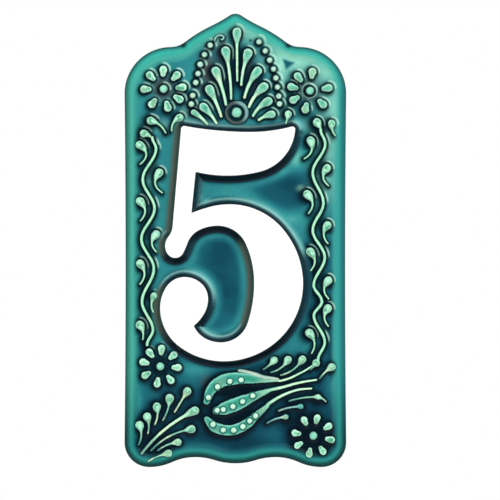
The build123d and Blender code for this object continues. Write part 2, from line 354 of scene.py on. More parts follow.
def summed(nodes, links, first, second, way="ADD"):
    """Two values put together."""
    node = nodes.new("ShaderNodeMath")
    node.operation = way
    for socket, source in zip(node.inputs, (first, second)):
        if isinstance(source, bpy.types.NodeSocket):
            links.new(source, socket)
        else:
            socket.default_value = source
    return node.outputs["Value"]


def mottle(nodes, links, scale, detail=3.0):
    """Soft cloudy variation through the clay."""
    place = nodes.new("ShaderNodeTexCoord")
    node = nodes.new("ShaderNodeTexNoise")
    node.inputs["Scale"].default_value = scale
    node.inputs["Detail"].default_value = detail
    links.new(place.outputs["Object"], node.inputs["Vector"])
    return node.outputs["Fac"]


def kept(nodes, name):
    """A value that the mesh keeps at each point."""
    node = nodes.new("ShaderNodeAttribute")
    node.attribute_name = name
    return node.outputs["Fac"]


STEM_STOPS = [
    (0.0, (200, 240, 206)),
    (0.4, (182, 232, 196)),
    (0.62, (112, 184, 152)),
    (0.78, (16, 50, 54)),
    (0.9, (3, 20, 28)),
]
# The heads are painted pale over the crest, partly as painted highlight, and pale again at the rim where
# the glaze breaks thin.
HEAD_STOPS = [
    (0.0, (178, 232, 200)),
    (0.25, (170, 226, 194)),
    (0.45, (148, 210, 180)),
    (0.66, (144, 204, 176)),
    (0.77, (178, 224, 196)),
    (0.86, (96, 146, 130)),
    (0.96, (12, 40, 44)),
]
GREEN_STOPS = [
    (0.0, (84, 168, 142)),
    (0.22, (96, 180, 154)),
    (0.45, (118, 196, 170)),
    (0.66, (148, 206, 184)),
    (0.77, (192, 232, 210)),
    (0.86, (96, 150, 134)),
    (0.96, (12, 40, 44)),
]
CLOUD_GREEN = (58, 146, 114)
TAIL_TEAL = (44, 104, 104)
CREAM = (222, 240, 196)


def relief_finish(name, head_stops, stem_stops=STEM_STOPS, cream=0.7, cloudy=0.85):
    """Thin glaze over slip: pale where it breaks on the edges, dark at the foot where it pools, with
    painted shade there; each trail is painted paler on the side facing BRIGHT_SIDE and darker on the far
    side.
    """
    material, nodes, links, shader = new_finish(name)
    wander = spread(nodes, links, mottle(nodes, links, 420), 0.3, 0.7, -0.06, 0.06)
    # Painted light and shade: the side attribute shifts the ramp paler towards BRIGHT_SIDE and darker
    # away from it.
    shade = summed(nodes, links, kept(nodes, "side"), -0.12, "MULTIPLY")
    across = summed(nodes, links, kept(nodes, "across"), summed(nodes, links, wander, shade))
    stem = colour_ramp(nodes, links, across, stem_stops)
    head = colour_ramp(nodes, links, across, head_stops)
    colour = blended(nodes, links, kept(nodes, "drop"), stem, head)
    lit = spread(nodes, links, kept(nodes, "across"), 0.8, 0.5)
    cloud = spread(nodes, links, mottle(nodes, links, 380), 0.46, 0.6, 0.0, cloudy)
    in_head = spread(nodes, links, kept(nodes, "drop"), 0.0, 1.0, 0.25, 1.0)
    cloud = summed(nodes, links, summed(nodes, links, cloud, in_head, "MULTIPLY"), lit, "MULTIPLY")
    colour = blended(nodes, links, cloud, colour, paint(*CLOUD_GREEN))
    colour = blended(nodes, links, kept(nodes, "tail"), colour, paint(*TAIL_TEAL))
    stem_only = spread(nodes, links, kept(nodes, "drop"), 1.0, 0.4, cream * 0.35, cream)
    patch = spread(nodes, links, mottle(nodes, links, 190), 0.48, 0.68)
    patch = summed(nodes, links, summed(nodes, links, patch, lit, "MULTIPLY"), stem_only, "MULTIPLY")
    colour = blended(nodes, links, patch, colour, paint(*CREAM))
    links.new(colour, shader.inputs["Base Color"])
    gloss = spread(nodes, links, mottle(nodes, links, 260), 0.3, 0.7, 0.18, 0.3)
    links.new(gloss, shader.inputs["Roughness"])
    shader.inputs["Specular IOR Level"].default_value = 0.18
    return material


stroke_finish = relief_finish("stroke_glaze", HEAD_STOPS)
green_finish = relief_finish("green_glaze", GREEN_STOPS)

# Palmette
# A fan of eleven drops rises from a round boss in a ringed dish, with beads down each side.
# The drops are trailed one by one from the head inwards.
PALMETTE = [
    ((0.6, 92.2), 1.95, (0.8, 70.8), 0),
    ((-4.4, 83.9), 1.9, (-1.9, 62.8), 0.6),
    ((-8.8, 75.0), 1.9, (-4.2, 60.3), 0.5),
    ((-11.6, 67.0), 1.9, (-6.3, 55.1), 0.4),
    ((-14.2, 59.2), 1.75, (-8.4, 52.0), 0.4),
    ((-18.4, 56.8), 1.15, (-12.4, 51.6), 0.3),
    ((5.5, 83.0), 1.9, (2.6, 69.0), -0.5),
    ((9.7, 75.0), 1.9, (4.0, 63.4), -0.7),
    ((12.6, 68.1), 1.9, (6.0, 59.2), -0.8),
    ((14.5, 61.7), 1.8, (7.8, 55.3), -0.8),
    ((16.0, 55.9), 1.6, (10.4, 53.5), -0.4),
]
PALMETTE_WET = 1.8
PALMETTE_STEM = 0.92
PALMETTE_DROP = 3.0
LOW_WET = 0.65
WET_RISE = (60, 74)
TOP_THINNING = 0.4
THINNING_RISE = (76, 90)
LEFT_CHAIN = [
    (-11.2, 86.4),
    (-13.7, 82.2),
    (-15.6, 77.9),
    (-16.6, 73.8),
    (-17.6, 69.9),
    (-18.9, 64.2),
    (-19.5, 60.4),
]
RIGHT_CHAIN = [
    (10.4, 87.9),
    (13.1, 83.9),
    (15.1, 79.8),
    (16.8, 75.9),
    (17.8, 71.9),
    (18.5, 67.9),
    (19.1, 63.9),
    (19.4, 60.5),
]
BEAD_RADIUS = 1.42
BEAD_RISE = 1.35
BEAD_WET = 0.7
PITTED_RINGS = TRAIL_RINGS[:-1] + ((0.2, 0.99), (0.1, 0.9), (0.0, 0.86))
BOSS = (0.5, 56.6)
BOSS_RADIUS = 2.3
COLLAR_RADIUS = 4.5
COLLAR_HALF = 0.62
COLLAR_WIDEST = 0.4
COLLAR_SWELL = 0.2
COLLAR_RISE = 0.6
COLLAR_STEPS = 49
COLLAR_LIT = (0.0, 0.9)
COLLAR_WET = 0.5
CURL = [
    (-9.2, 88.7),
    (-8.8, 89.7),
    (-8.0, 90.5),
    (-6.9, 90.9),
    (-5.8, 90.7),
    (-5.1, 90.0),
    (-5.4, 89.2),
    (-6.2, 89.0),
]
CURL_HALF = 0.3
CURL_WET = 0.6

palmette = new_group()
for marks in PALMETTE:
    wet = PALMETTE_WET * (LOW_WET + (1 - LOW_WET) * eased(marks[0][1], *WET_RISE))
    stem = PALMETTE_STEM * (1 - TOP_THINNING * eased(marks[0][1], *THINNING_RISE))
    stroke(palmette, *marks, wet, stem, PALMETTE_DROP)
make_piece(palmette, "palmette_drops", green_finish)

bead_finish = relief_finish("bead_glaze", [
    (0.0, (110, 150, 138)),
    (0.1, (150, 194, 176)),
    (0.22, (196, 226, 208)),
    (0.45, (168, 206, 188)),
    (0.62, (112, 162, 144)),
    (0.78, (34, 66, 66)),
    (0.93, (6, 28, 34)),
], cloudy=0.3)
chains = new_group()
for middle in LEFT_CHAIN + RIGHT_CHAIN:
    bead(chains, middle, BEAD_RADIUS, BEAD_RISE, BEAD_WET, PITTED_RINGS)
make_piece(chains, "palmette_beads", bead_finish)

boss_finish = relief_finish("boss_glaze", [
    (0.0, (146, 224, 194)),
    (0.4, (128, 204, 176)),
    (0.66, (132, 196, 172)),
    (0.78, (108, 162, 144)),
    (0.89, (24, 54, 54)),
    (0.97, (8, 26, 32)),
], cloudy=0.25)
boss = new_group()
bead(boss, BOSS, BOSS_RADIUS, BEAD_RISE, BEAD_WET)
make_piece(boss, "palmette_boss", boss_finish)

# The collar has a pale ramp and a dark grey ramp of the same glaze: painted highlight and painted shade.
collar_finish = relief_finish("collar_glaze", [
    (0.0, (124, 164, 162)),
    (0.5, (104, 148, 146)),
    (0.78, (60, 104, 108)),
    (0.95, (16, 54, 64)),
], [
    (0.0, (66, 76, 74)),
    (0.5, (60, 76, 76)),
    (0.78, (38, 64, 68)),
    (0.95, (14, 48, 58)),
], cream=0.0, cloudy=0.0)
dish = new_group()
turn = np.linspace(0, 2 * math.pi, COLLAR_STEPS)
# The collar is painted pale on the side towards the light and dark grey on the far side, and is drawn
# widest towards the light.
towards_light = np.cos(turn - COLLAR_WIDEST)
collar = np.array(BOSS) + COLLAR_RADIUS * np.stack([np.cos(turn), np.sin(turn)], axis=1)
collar_halves = COLLAR_HALF * (1 + COLLAR_SWELL * towards_light)
trail(dish, collar, collar_halves, COLLAR_RISE, eased(towards_light, *COLLAR_LIT), COLLAR_WET)
make_piece(dish, "palmette_collar", collar_finish)

curl_finish = relief_finish("curl_glaze", HEAD_STOPS, [
    (0.0, (158, 206, 194)),
    (0.5, (116, 174, 166)),
    (0.8, (30, 80, 86)),
    (0.95, (10, 44, 54)),
], cream=0.0)
curl = new_group()
trail(curl, CURL, np.full(len(CURL), CURL_HALF), COLLAR_RISE, np.zeros(len(CURL)), CURL_WET)
make_piece(curl, "palmette_curl", curl_finish)

# Flowers
# Four daisies, two above and two below, of petals trailed with the broad end outward.
# Each has a bead in its middle.
FLOWERS = [
    ((-31.8, 67.1), 7.9, 1.0, 1.1, 0.5, (91, 46, 5, -33, -77, -127, 181, 135)),
    ((32.8, 66.3), 7.8, 1.0, 1.35, 0.2, (82, 9, -46, -104, -151, 168, 130)),
    ((-33.2, -55.3), 7.3, 0.92, 1.3, 0.85, (86, 40, -4, -53, -100, -149, 166, 128)),
    ((34.3, -86.0), 7.6, 0.86, 1.8, 0.98, (78, 32, -12, -58, -103, -149, 171, 120)),
]
GREEN_FLOWER = FLOWERS[1][0]
PETAL_REACH = (-1.5, 0.7)
PETAL_WIDTHS = (0.92, 1.64)
PETAL_FLARE = (0.0, 1.1)
PETAL_STEPS = 11
PETAL_RISE = 1.4
FLOWER_MIDDLE = 1.75

along = np.linspace(PETAL_REACH[1], PETAL_REACH[0], PETAL_STEPS)
narrowing = eased(np.linspace(0, 1, PETAL_STEPS), *PETAL_FLARE)
petal_halves = PETAL_WIDTHS[1] + (PETAL_WIDTHS[0] - PETAL_WIDTHS[1]) * narrowing
pale_petals = new_group()
green_petals = new_group()
middles = new_group()
for middle, distance, size, wet, _, angles in FLOWERS:
    petals = green_petals if middle == GREEN_FLOWER else pale_petals
    for angle in angles:
        out = np.array([math.cos(math.radians(angle)), math.sin(math.radians(angle))])
        spine = np.array(middle) + out * (distance + size * along[:, None])
        trail(petals, spine, size * petal_halves, PETAL_RISE, np.ones(PETAL_STEPS), wet)
    bead(middles, middle, FLOWER_MIDDLE, BEAD_RISE, wet)
petal_finish = relief_finish("petal_glaze", [
    (0.0, (112, 188, 152)),
    (0.2, (134, 204, 170)),
    (0.42, (166, 224, 196)),
    (0.77, (192, 234, 210)),
    (0.86, (96, 150, 132)),
    (0.96, (10, 36, 40)),
])
make_piece(pale_petals, "pale_petals", petal_finish)
make_piece(green_petals, "green_petals", green_finish)
make_piece(middles, "flower_middles", boss_finish)

# Vines
# A wavy line of slip runs down each side of the numeral, with a leaf in every bend.
# The right one is trailed in two lengths that meet below the middle.
VINE_HALF = 0.54
VINE_RISE = 1.15
VINE_WET = 1.6
VINE_STEPS = 18
LEAF_WET = 1.95
LEAF_STEM = 0.36
LEAF_DROP = 2.1
LEFT_VINE = [
    (-36.7, 45.7),
    (-35.0, 40.8),
    (-40.9, 27.2),
    (-35.7, 14.4),
    (-41.5, 0.9),
    (-36.0, -12.2),
    (-41.2, -26.8),
    (-36.4, -39.2),
    (-39.0, -45.8),
]
RIGHT_VINE_TOP = [
    (37.6, 49.2),
    (39.6, 43.0),
    (34.1, 30.2),
    (38.8, 16.8),
    (34.1, 4.8),
    (39.4, -7.2),
    (34.5, -19.6),
    (38.0, -26.2),
]
RIGHT_VINE_FOOT = [
    (38.2, -26.6),
    (34.6, -32.8),
    (39.4, -44.6),
    (36.4, -52.6),
]
VINE_LEAVES = [
    ((-42.3, 42.4), 1.7, (-42.0, 34.0), 2.8),
    ((-33.6, 30.2), 1.7, (-32.3, 21.4), -2.5),
    ((-42.2, 17.6), 1.7, (-41.9, 9.0), 2.2),
    ((-35.0, 3.0), 1.7, (-34.9, -4.7), -1.9),
    ((-42.2, -9.9), 1.7, (-42.1, -19.0), 2.0),
    ((-35.9, -24.2), 1.4, (-36.3, -31.2), -0.9),
    ((-42.3, -37.0), 1.8, (-40.9, -43.4), 0.8),
    ((33.1, 44.3), 1.8, (30.4, 36.4), 1.9),
    ((40.4, 32.2), 1.7, (41.1, 24.5), -2.0),
    ((31.6, 20.6), 1.8, (32.3, 12.3), 2.1),
    ((40.6, 7.0), 1.7, (40.8, -1.0), -1.7),
    ((32.8, -4.7), 1.8, (33.3, -12.9), 2.0),
    ((41.0, -17.4), 1.7, (41.1, -25.4), -1.9),
    ((40.8, -29.7), 1.7, (41.0, -37.5), -1.6),
    ((32.5, -40.6), 1.8, (33.7, -49.4), 1.8),
]
CORNER_LEAVES = [
    ((-37.5, 53.1), 1.7, (-30.8, 47.8), 1.1),
    ((-24.6, 54.4), 1.6, (-28.1, 48.7), -1.2),
    ((42.4, 51.9), 1.5, (44.0, 46.6), -0.5),
    ((-40.6, 47.5), 1.6, (-35.7, 43.0), 1.1),
    ((35.9, 52.4), 1.8, (38.2, 47.6), 0.3),
    ((23.2, 56.0), 1.5, (22.2, 52.0), 0.2),
]

vine_finish = relief_finish("vine_glaze", HEAD_STOPS, [
    (0.0, (146, 220, 176)),
    (0.35, (178, 236, 198)),
    (0.6, (112, 184, 152)),
    (0.78, (14, 48, 52)),
    (0.9, (3, 20, 28)),
], cream=0.2)
vines = new_group()
for turns in (LEFT_VINE, RIGHT_VINE_TOP, RIGHT_VINE_FOOT):
    turns = np.array(turns)
    fall = np.linspace(turns[0, 1], turns[-1, 1], VINE_STEPS * (len(turns) - 1))
    step = np.searchsorted(-turns[:, 1], -fall, side="right").clip(1, len(turns) - 1)
    upper = turns[step - 1]
    lower = turns[step]
    swing = (1 - np.cos(math.pi * (upper[:, 1] - fall) / (upper[:, 1] - lower[:, 1]))) / 2
    sway = upper[:, 0] + (lower[:, 0] - upper[:, 0]) * swing
    line = np.stack([sway, fall], axis=1)
    trail(vines, line, np.full(len(fall), VINE_HALF), VINE_RISE, np.zeros(len(fall)), VINE_WET)
for marks in VINE_LEAVES + CORNER_LEAVES:
    stroke(vines, *marks, LEAF_WET, LEAF_STEM, LEAF_DROP)
make_piece(vines, "vines_and_leaves", vine_finish)

# Sprays
# Fans of fine strokes fill the two lower corners and trail off beside the tulip.
# They are made in the same way as the palmette's drops.
LEFT_SPRAY = [
    ((-17.9, -74.9), 1.8, (-41.2, -93.6), -1.9),
    ((-21.3, -66.3), 1.7, (-26.8, -75.4), 0),
    ((-29.1, -69.4), 1.8, (-32.0, -79.0), 0.7),
    ((-34.8, -73.0), 1.7, (-35.6, -81.0), 0.8),
    ((-39.0, -77.5), 1.7, (-38.6, -84.8), 0.6),
    ((-42.4, -81.2), 1.7, (-42.7, -89.8), 1.0),
    ((-19.4, -83.0), 1.7, (-37.2, -92.4), -1.8),
    ((-25.4, -88.8), 1.5, (-34.2, -92.4), -0.7),
    ((-29.5, -93.6), 1.5, (-38.4, -97.0), -0.5),
]
RIGHT_SPRAY = [
    ((17.05, -52.6), 1.5, (12.45, -56.5), 0.3),
    ((23.15, -52.4), 1.6, (15.75, -57.9), 1.0),
    ((29.55, -52.2), 1.6, (20.15, -59.1), 1.2),
    ((35.55, -53.8), 1.6, (33.25, -56.6), 0),
    ((42.55, -55.6), 1.6, (37.25, -60.6), -0.4),
    ((36.45, -68.8), 1.0, (23.75, -70.6), -0.6),
    ((36.45, -68.8), 1.0, (39.85, -70.7), 0.3),
]
FAINT_STROKES = [
    ((28.85, -73.0), 1.1, (19.05, -74.9), -0.5),
    ((22.25, -77.6), 1.1, (14.05, -80.3), -0.6),
]
SPRAY_WET = 1.8
LONG_STEM = 0.68
FINE_STEM = 0.34
SHORT_DROP = 2.0
SPRAY_FADE = 0.7

long_strokes = new_group()
stroke(long_strokes, *LEFT_SPRAY[0], SPRAY_WET, LONG_STEM, PALMETTE_DROP, SPRAY_FADE)
make_piece(long_strokes, "long_spray", stroke_finish)

spray_finish = relief_finish("spray_glaze", HEAD_STOPS, [
    (0.0, (140, 200, 172)),
    (0.4, (108, 174, 152)),
    (0.65, (44, 100, 96)),
    (0.85, (6, 28, 36)),
])
sprays = new_group()
for marks in LEFT_SPRAY[1:] + RIGHT_SPRAY:
    stroke(sprays, *marks, SPRAY_WET, FINE_STEM, SHORT_DROP, SPRAY_FADE)
make_piece(sprays, "sprays", spray_finish)

faint_finish = relief_finish("faint_glaze", [
    (0.0, (96, 170, 160)),
    (0.5, (120, 192, 180)),
    (0.76, (62, 128, 126)),
    (0.95, (6, 38, 46)),
], [
    (0.0, (150, 196, 190)),
    (0.5, (104, 158, 156)),
    (0.85, (10, 48, 56)),
])
faint = new_group()
for marks in FAINT_STROKES:
    stroke(faint, *marks, SPRAY_WET, FINE_STEM, SHORT_DROP, SPRAY_FADE)
make_piece(faint, "faint_strokes", faint_finish)

# Tulip
# Three broad lobes lie one above another and run out into long stems to the right.
# Each lobe is a flat band of slip with a row of small beads dropped on it.
UPPER_LOBE = [
    [(-14.1, -70.6), (-12.7, -64.4), (-7.7, -59.7), (0.9, -58.3), (10.9, -60.2), (21.3, -61.1)],
    [(-11.3, -70.8), (-8.9, -66.8), (-4.1, -63.9), (3.3, -62.9), (12.3, -62.4), (21.3, -61.8)],
    [(19.7, -61.7), (23.7, -60.6), (27.5, -58.8), (31.1, -56.9), (34.1, -54.9)],
]
MIDDLE_LOBE = [
    [(-9.3, -73.9), (-5.7, -71.3), (0.9, -68.7), (8.9, -66.5), (16.7, -64.6)],
    [(-8.4, -76.2), (-3.7, -76.6), (2.3, -74.3), (9.3, -69.9), (16.7, -65.7)],
    [(15.3, -65.7), (21.0, -64.4), (26.5, -62.85), (30.9, -61.95), (35.7, -61.2)],
]
LOWER_LOBE = [
    [(-11.9, -77.8), (-7.7, -80.5), (-1.7, -81.3), (4.3, -78.7), (9.9, -74.7), (15.9, -70.3)],
    [(-13.5, -79.4), (-10.1, -84.2), (-2.1, -85.9), (4.9, -83.1), (10.9, -77.2), (16.5, -71.4)],
    [(14.7, -71.7), (18.8, -69.1), (23.2, -67.0), (28.2, -65.5), (33.5, -65.0)],
]
LOBE_STEMS = ((0.36, 0.2), (0.6, 0.26), (0.6, 0.26))
RIDGE = [(1.6, -57.1), (5.6, -57.9), (9.6, -59.2), (13.6, -60.3), (18.8, -60.9)]
LOBE_BEADS = [
    (-12.0, -69.0),
    (-8.0, -64.3),
    (-2.5, -61.9),
    (2.5, -61.3),
    (-8.1, -74.7),
    (-5.4, -74.3),
    (-1.1, -73.0),
    (3.1, -70.8),
    (7.6, -68.2),
    (-10.0, -80.9),
    (-5.5, -83.3),
    (-0.8, -83.5),
    (3.3, -81.8),
    (6.2, -79.3),
    (8.8, -77.2),
]
LOBE_RISE = 1.05
LOBE_STEPS = 40
LOBE_CLEAR = 0.4
LOBE_TRIM = 0.1
LOBE_HEAD_ENDS = (20, 8)
LOBE_WET = 2.0
LOBE_RINGS = ((0.97, 0.35), (0.91, 0.68), (0.82, 0.88), (0.64, 0.97), (0.36, 1.0), (0.0, 1.0))
STEM_STEPS = 20
RIDGE_STEPS = 30
RIDGE_HALF = 0.4
RIDGE_SWELL = 0.42
RIDGE_BLUNT = 0.7
RIDGE_WAVE = 0.14
RIDGE_TURNS = 17
RIDGE_FADE = (1, 0.3)
RIDGE_WET = 0.8
LOBE_BEAD_RADIUS = 1.5
LOBE_BEAD_RISE = 1.75
LOBE_BEAD_RINGS = ((0.98, 0.63), (0.78, 0.66), (0.72, 0.76), (0.6, 0.9), (0.36, 0.98), (0.0, 1.0))


def flowing(points, count):
    """A smooth line through the points."""
    points = np.array(points, float)
    ends = np.concatenate([[2 * points[0] - points[1]], points, [2 * points[-1] - points[-2]]])
    line = []
    for place in np.linspace(0, len(points) - 1, count):
        number = min(int(place), len(points) - 2)
        t = place - number
        a, b, c, d = ends[number:number + 4]
        line.append(b + t * (c - a) / 2 + t * t * (a - 2.5 * b + 2 * c - d / 2)
                    + t ** 3 * (1.5 * (b - c) + (d - a) / 2))
    return np.array(line)


lobe_finish = relief_finish("lobe_glaze", [
    (0.0, (46, 138, 124)),
    (0.45, (56, 152, 136)),
    (0.7, (104, 188, 166)),
    (0.8, (128, 204, 180)),
    (0.87, (62, 124, 114)),
    (0.95, (3, 22, 30)),
], cream=0.35)
lobes = new_group()
for (upper, lower, stem), thin in zip((UPPER_LOBE, MIDDLE_LOBE, LOWER_LOBE), LOBE_STEMS):
    top = flowing(upper, LOBE_STEPS)
    low = flowing(lower, LOBE_STEPS)
    half = np.linalg.norm(top - low, axis=1) / 2
    middle_line = (top + low) / 2
    before = middle_line[:, 0] < stem[0][0] - LOBE_CLEAR
    spine = np.concatenate([middle_line[before], flowing(stem, STEM_STEPS)])
    lobe_halves = np.maximum(half[before] - LOBE_TRIM, thin[0])
    widths = np.concatenate([lobe_halves, np.linspace(*thin, STEM_STEPS)])
    trail(lobes, spine, widths, LOBE_RISE, eased(spine[:, 0], *LOBE_HEAD_ENDS), LOBE_WET, LOBE_RINGS)
make_piece(lobes, "tulip_lobes", lobe_finish)

ridge_finish = relief_finish("ridge_glaze", HEAD_STOPS, [
    (0.0, (186, 206, 188)),
    (0.4, (164, 192, 176)),
    (0.65, (126, 162, 150)),
    (0.88, (16, 44, 50)),
], cream=0.3)
ridge = new_group()
ridge_halves = RIDGE_HALF + RIDGE_SWELL * np.sin(math.pi * np.linspace(0, 1, RIDGE_STEPS)) ** RIDGE_BLUNT
ripple = np.sin(np.linspace(0, RIDGE_TURNS, RIDGE_STEPS))
ridge_halves += RIDGE_WAVE * ripple * np.linspace(*RIDGE_FADE, RIDGE_STEPS)
trail(ridge, flowing(RIDGE, RIDGE_STEPS), ridge_halves, LOBE_RISE, np.zeros(RIDGE_STEPS), RIDGE_WET)
make_piece(ridge, "tulip_ridge", ridge_finish)

lobe_bead_finish = relief_finish("lobe_bead_glaze", [
    (0.0, (186, 216, 188)),
    (0.2, (202, 236, 208)),
    (0.42, (190, 230, 202)),
    (0.6, (150, 204, 182)),
    (0.72, (24, 92, 88)),
    (0.88, (20, 92, 86)),
    (1.0, (44, 134, 120)),
], cream=0.0, cloudy=0.2)
lobe_beads = new_group()
for middle in LOBE_BEADS:
    bead(lobe_beads, middle, LOBE_BEAD_RADIUS, LOBE_BEAD_RISE, BEAD_WET, LOBE_BEAD_RINGS)
make_piece(lobe_beads, "tulip_beads", lobe_bead_finish)

# Glaze
# A coloured glaze floods the plate: thin and green on the rim, deep teal in the field.
# It creeps up the foot of each trail and pools there almost black, a dark that is spread further on the
# side away from the light as painted shade; the back stays bare.
# The plate is closed behind once the glaze has its height.
BACK_HALF_WIDTH = 49
BACK_HALF_HEIGHT = 100
POOL_LIMIT = 6.0
POOL_DARK = 0.97
POOL_FALL = 1.6
SHADE_SIDE = (1.15, 0.5)
POOL_RIM = (2.2, 6.4)
DISH_DARK = 0.75
NOTCH_DARK = 0.85
CREEP_RISE = 0.1
CREEP_REACH = 0.8
CREEP_RIM = (2.0, 6.0)
CREEP_WALL = (0.5, 3.0)
# The painted glints: a thin pale line just off each trail on the side facing the light, and at the
# vines' outer bends.
GLINT_GAP = 1.2
GLINT_HALF = 0.4
GLINT_FOOT = (-56.0, -40.0)
GLINT_TURN = (0.35, 0.85)
GLINT_WIDTHS = (0.8, 1.7)
GLINT_LOSS = 0.6
PAINTED_GLINT_GREEN = (168, 216, 196)
RING_RADIUS = 3.3
RING_HALF = 0.4
RING_SHARE = 0.75
BENDS = [
    (-35.4, 42.5),
    (-36.0, 16.8),
    (-36.3, -10.0),
    (-36.7, -37.5),
    (39.2, 44.5),
    (38.6, 19.0),
    (39.0, -5.2),
    (39.0, -42.5),
]
BEND_REACH = 2.6
FLOWER_DARK = (7.0, 3.5)
DISH = (4.5, 3.8)
# NOTCHES: painted shade in the two concave notches of the rim's shoulders, and one small dark pit mark.
NOTCHES = [((-23.0, 86.0), 1.7), ((23.4, 86.0), 1.7), ((6.7, 88.4), 0.8)]
LEFT_TURN = (-0.45, 0.45)
DOWN_TURN = (-0.3, 0.3)
LEVEL_TURN = (0.28, 0.75)
LIT_TURN = (0.55, 1.0)
TOP_SHADE = 0.55
TOP_SHADE_RISE = (44, 48)
BOWL_RIGHT = (22, 28)
BOWL_LOW = (2, 9)
LIT_NOOK = (-13.4, 18.7)
NOOK_REACH = (2.2, 2.4)
POCKET = [(20.9, 80.3), (26.2, 78.6), (22.4, 75.7)]
UPPER_DEPTH = 0.40
LOWER_DEPTH = 0.78
DEPTH_FALL = (42, 66)
POCKET_DEPTH = 0.62
POCKET_EDGE = (-0.9, 0.6)
DEEPS_AND_SHALLOWS = [
    ((26.5, 37.0), (3.0, 4.5), -0.24),
    ((21.5, 30.5), (4.0, 2.5), -0.10),
    ((25.0, 10.0), (5.0, 4.0), -0.12),
    ((-6.0, 91.0), (5.0, 4.0), -0.18),
    ((8.0, -55.5), (13.0, 4.0), 0.2),
    ((31.0, -28.0), (4.0, 10.0), 0.34),
    ((-38.0, -67.0), (7.0, 5.0), -0.12),
    ((-38.0, -88.0), (7.0, 6.0), 0.2),
    ((34.0, -86.0), (10.0, 9.0), 0.16),
    ((31.5, -9.0), (3.0, 8.0), 0.45),
    ((42.0, -30.0), (3.5, 30.0), 0.34),
    ((0.0, 76.0), (8.0, 9.0), 0.28),
    ((-10.5, 61.5), (2.5, 3.0), 0.3),
    ((-9.0, 70.0), (6.0, 9.0), 0.3),
    ((8.0, 68.0), (6.0, 8.0), 0.24),
    ((-33.0, 56.0), (6.0, 3.5), 0.26),
    ((-20.0, 61.0), (4.0, 6.0), 0.22),
    ((0.5, -66.8), (9.0, 2.6), 0.5),
    ((1.0, -77.6), (8.5, 2.4), 0.5),
    ((13.0, -67.4), (6.0, 2.0), 0.4),
    ((33.0, -16.0), (3.0, 8.0), 0.25),
    ((14.0, -85.0), (7.0, 3.5), -0.1),
    ((-18.0, -56.5), (9.0, 3.5), -0.3),
    ((-20.0, -62.0), (7.0, 4.5), -0.16),
    ((0.0, -90.0), (8.0, 5.0), 0.06),
    ((-18.0, -93.5), (12.0, 4.0), -0.34),
    ((28.0, -78.0), (12.0, 8.0), 0.06),
    ((43.0, -64.0), (3.5, 9.0), -0.36),
    ((-43.5, -72.0), (3.0, 11.0), -0.34),
    ((-43.0, -39.0), (3.0, 8.0), 0.2),
    ((18.0, -88.0), (5.0, 5.0), -0.10),
]
WELLS = [
    ((-5.5, -15.0), (13.0, 27.0), 0.34),
    ((20.5, 22.0), (13.0, 9.0), 0.34),
]
WELL_EDGE = (3.2, 8.0)
# Painted glare: pale patches, most in the upper right, painted where the glaze would mirror a bright
# lamp.
GLARE_RIM = (2.4, 5.2)
PAINTED_GLARE_GREEN = (154, 222, 198)
PAINTED_GLARES = [
    ((27.5, 81.0), (12.0, 6.5), 1.0),
    ((40.0, 76.0), (7.0, 6.0), 0.75),
    ((43.0, 60.0), (5.0, 12.0), 0.65),
    ((7.0, 92.5), (7.0, 4.5), 0.65),
    ((20.5, 79.0), (3.5, 9.0), 0.8),
    ((27.0, 73.5), (3.0, 3.5), 0.5),
    ((40.8, 41.0), (4.0, 10.0), 0.45),
    ((39.5, 26.5), (4.5, 9.0), 0.45),
    ((-6.5, 88.0), (3.5, 3.0), 0.35),
    ((-21.5, 56.5), (3.0, 4.0), 0.25),
    ((20.7, 56.0), (2.5, 4.0), 0.3),
    ((-32.3, 50.6), (4.0, 3.0), 0.25),
    ((-37.6, 29.4), (3.0, 5.0), 0.25),
    ((30.5, 50.5), (3.0, 3.0), 0.25),
    ((21.2, 69.0), (1.0, 9.0), 0.7),
    ((29.2, 23.0), (1.7, 1.3), 0.6),
]
TAWNY_BROWN = (84, 80, 76)
TAWNY = [
    ((-12.5, 76.0), (3.0, 7.5), 0.85),
    ((-15.5, 68.5), (2.2, 4.0), 0.6),
    ((8.4, 67.5), (1.5, 3.5), 0.6),
    ((-6.2, 83.5), (2.4, 5.0), 0.75),
    ((6.0, 77.5), (2.0, 3.5), 0.55),
    ((-9.0, 65.5), (1.3, 4.0), 0.5),
    ((-13.0, -62.5), (2.2, 3.6), 0.4),
    (FLOWERS[0][0], (5.0, 5.0), 1.0),
    (GREEN_FLOWER, (5.0, 5.0), 0.9),
]

